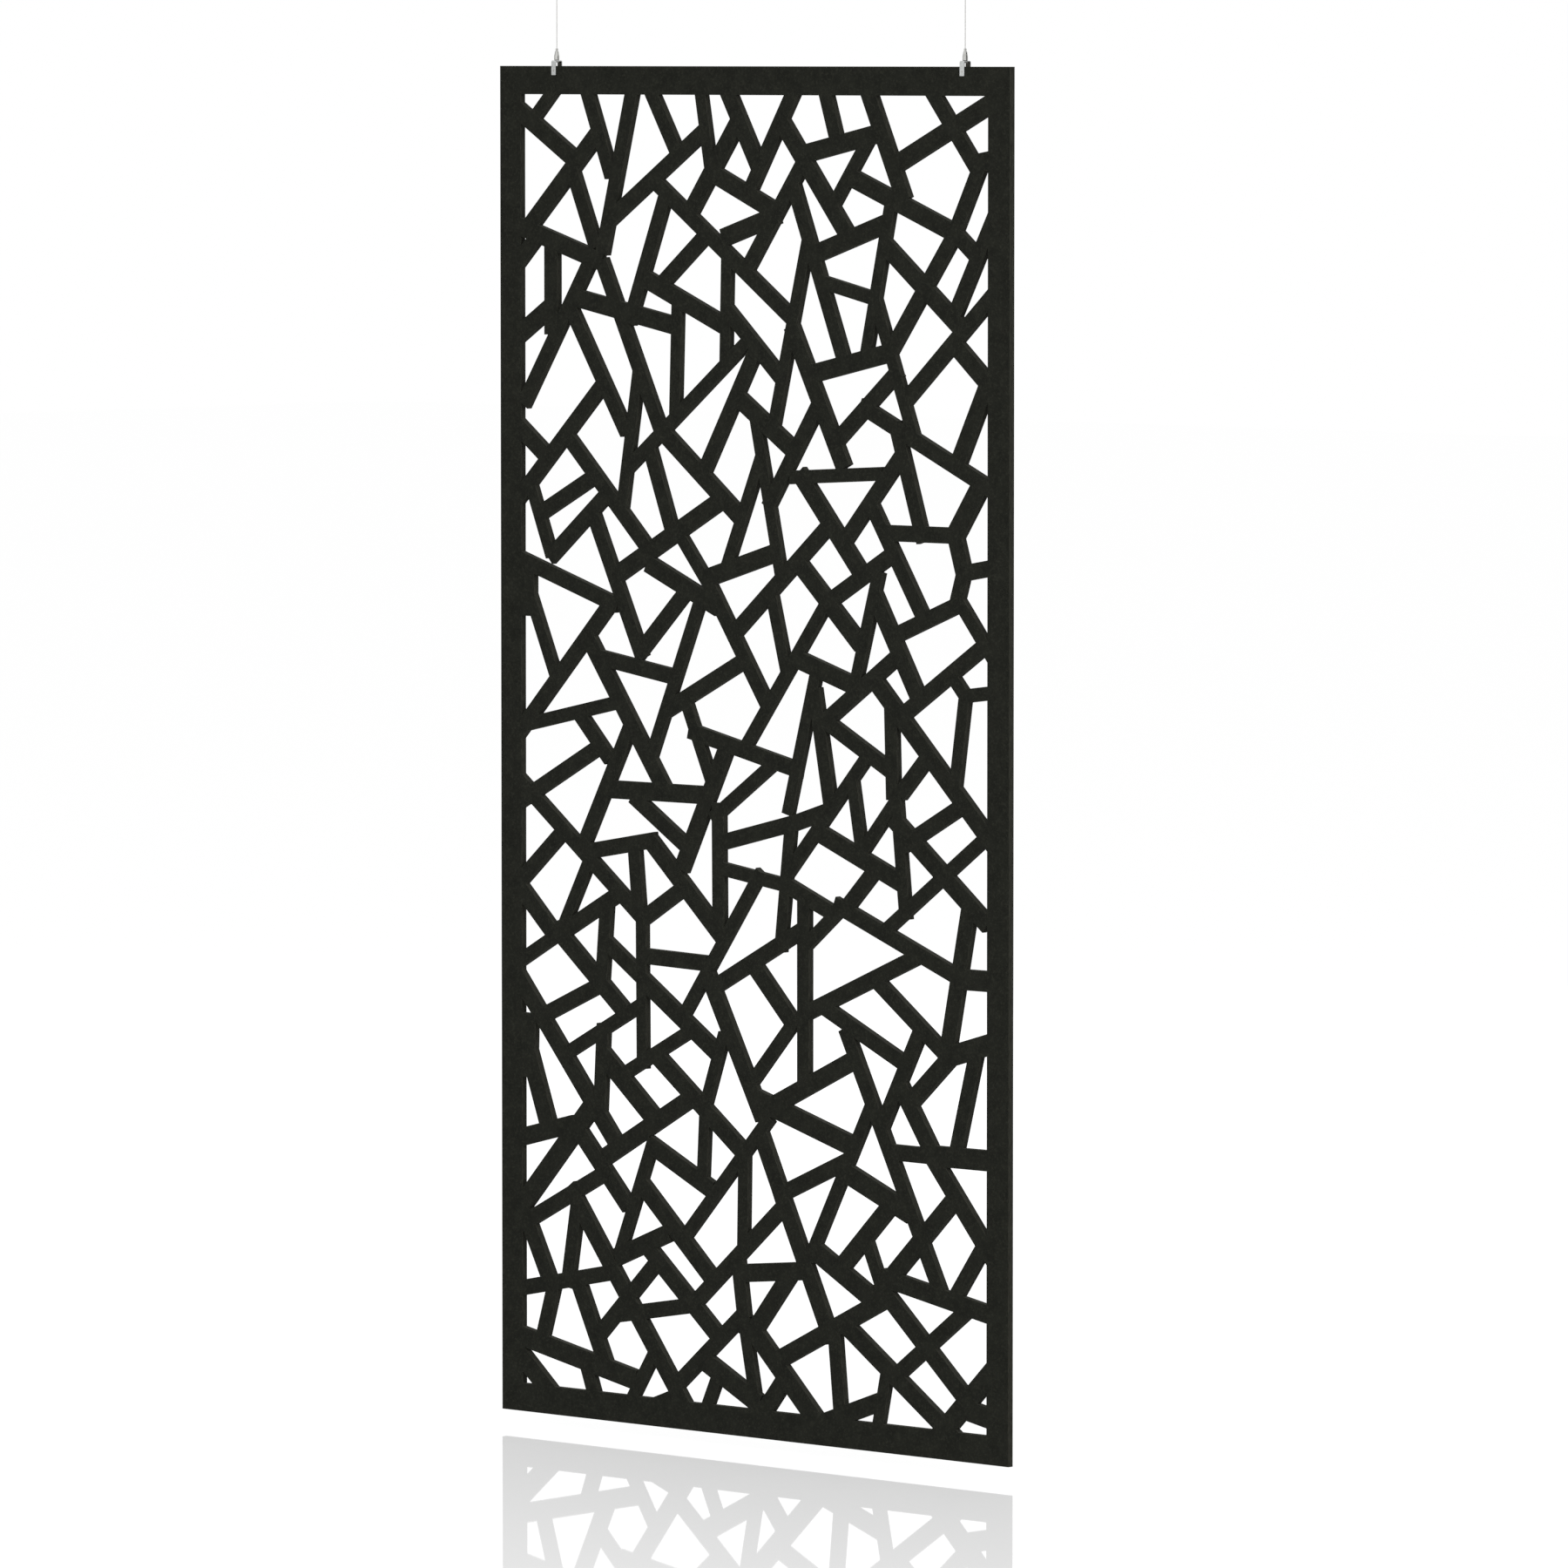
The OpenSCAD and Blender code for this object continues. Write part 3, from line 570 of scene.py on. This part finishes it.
def polished_floor():
    """A white, lightly polished studio floor: it keeps a soft shadow and a faint mirror image, which is
    strongest near the panel."""
    material, tree, mm = new_material("polished_white_floor")
    paint = add(tree, "BsdfDiffuse", None, {"Color": colour("#8c8c8c")}).outputs["BSDF"]
    # To the camera and in the metal the floor is as white as the room
    lift = {0: background_rays(tree), 1: FLOOR_LIFT}
    lift = add(tree, "Math", {"operation": "MULTIPLY"}, lift).outputs["Value"]
    lift = add(tree, "Emission", None, {"Strength": lift}).outputs["Emission"]
    white = add(tree, "AddShader", None, {0: paint, 1: lift}).outputs["Shader"]
    wax = add(tree, "BsdfGlossy", None, {"Color": colour("#ffffff"), "Roughness": 0.02}).outputs["BSDF"]
    # The wax is buffed most where the panel hangs, and fades out in front of and behind it
    away = add(tree, "SeparateXYZ", None, {"Vector": mm}).outputs["Y"]
    away = add(tree, "Math", {"operation": "ABSOLUTE"}, {0: away}).outputs["Value"]
    away = add(tree, "MapRange", None, {"Value": away, "From Max": WAX_FADE_MM}).outputs["Result"]
    buffed = add(tree, "ValToRGB", None, {"Fac": away})
    stops = buffed.color_ramp.elements
    stops.new(WAX_SHARES[1][0])
    for stop, (place, share) in zip(stops, WAX_SHARES):
        stop.position = place
        stop.color = (share, share, share, 1)
    surface = {0: buffed.outputs["Color"], 1: white, 2: wax}
    surface = add(tree, "MixShader", None, surface).outputs["Shader"]
    add(tree, "OutputMaterial", None, {"Surface": surface})
    return material


bpy.ops.mesh.primitive_plane_add(size=FLOOR_SIZE, location=(0, 0, FLOOR_Z))
floor = bpy.context.object
floor.name = "studio_floor"
floor.data.materials.append(polished_floor())
bpy.ops.object.select_all(action="DESELECT")


# ---------------------------------------------------------------- light

SOFT_BOX_SIZE = 4.0
PANEL_MIDDLE = Vector((0, 0, -1.35))
# The black cards stand this far from the hanging hardware, level with it
FLAG_DISTANCE = 2.5
FLAG_HEIGHT = 1.6
FLAG_Z = -0.1
ROOM_LIGHT = 0.55


def soft_light(name, at, power):
    """A square soft box that faces the panel. The camera and the metal don't see it."""
    bpy.ops.object.light_add(type="AREA", location=at)
    lamp = bpy.context.object
    lamp.name = name
    lamp.data.shape = "SQUARE"
    lamp.data.size = SOFT_BOX_SIZE
    lamp.data.energy = power
    lamp.rotation_euler = (PANEL_MIDDLE - Vector(at)).to_track_quat("-Z", "Y").to_euler()
    lamp.visible_camera = lamp.visible_glossy = False
    lamp.select_set(False)


soft_light("key_light", (1.5, -8.0, 1.5), 300)
soft_light("side_light", (8.5, -1.5, 0.5), 260)
soft_light("back_light", (-4.0, 7.5, 1.5), 260)


def black_card():
    """Matt black card."""
    material, tree, _ = new_material("black_card")
    card = add(tree, "BsdfDiffuse", None, {"Color": colour("#0b0b0b")}).outputs["BSDF"]
    add(tree, "OutputMaterial", None, {"Surface": card})
    return material


def dark_flag(name, heading, spread, card):
    """A black card that only mirrors see, from the hanging hardware at a heading and as wide as spread,
    both in degrees: it draws a dark stripe down the metal."""
    turn = math.radians(heading)
    at = (FLAG_DISTANCE * math.cos(turn), FLAG_DISTANCE * math.sin(turn), FLAG_Z)
    bpy.ops.mesh.primitive_plane_add(size=1, location=at, rotation=(math.pi / 2, 0, turn + math.pi / 2))
    flag = bpy.context.object
    flag.name = name
    flag.scale = (2 * FLAG_DISTANCE * math.tan(math.radians(spread / 2)), FLAG_HEIGHT, 1)
    flag.data.materials.append(card)
    flag.visible_camera = flag.visible_diffuse = flag.visible_shadow = False
    flag.select_set(False)


matt_black = black_card()
dark_flag("right_flag", heading=18, spread=48, card=matt_black)
dark_flag("left_flag", heading=-157, spread=20, card=matt_black)


def studio_world():
    """A white room: its light on the panel is soft, and the camera and the metal see it plain white."""
    world = bpy.data.worlds.new("white_studio")
    world.use_nodes = True
    tree = world.node_tree
    tree.nodes.clear()
    strength = {"Value": background_rays(tree), "To Min": ROOM_LIGHT, "To Max": 1}
    strength = add(tree, "MapRange", None, strength).outputs["Result"]
    room = add(tree, "Background", None, {"Color": colour("#ffffff"), "Strength": strength})
    add(tree, "OutputWorld", None, {"Surface": room.outputs["Background"]})
    bpy.context.scene.world = world


studio_world()
# Colours come out as they are set, with no film curve over them
bpy.context.scene.view_settings.view_transform = "Standard"
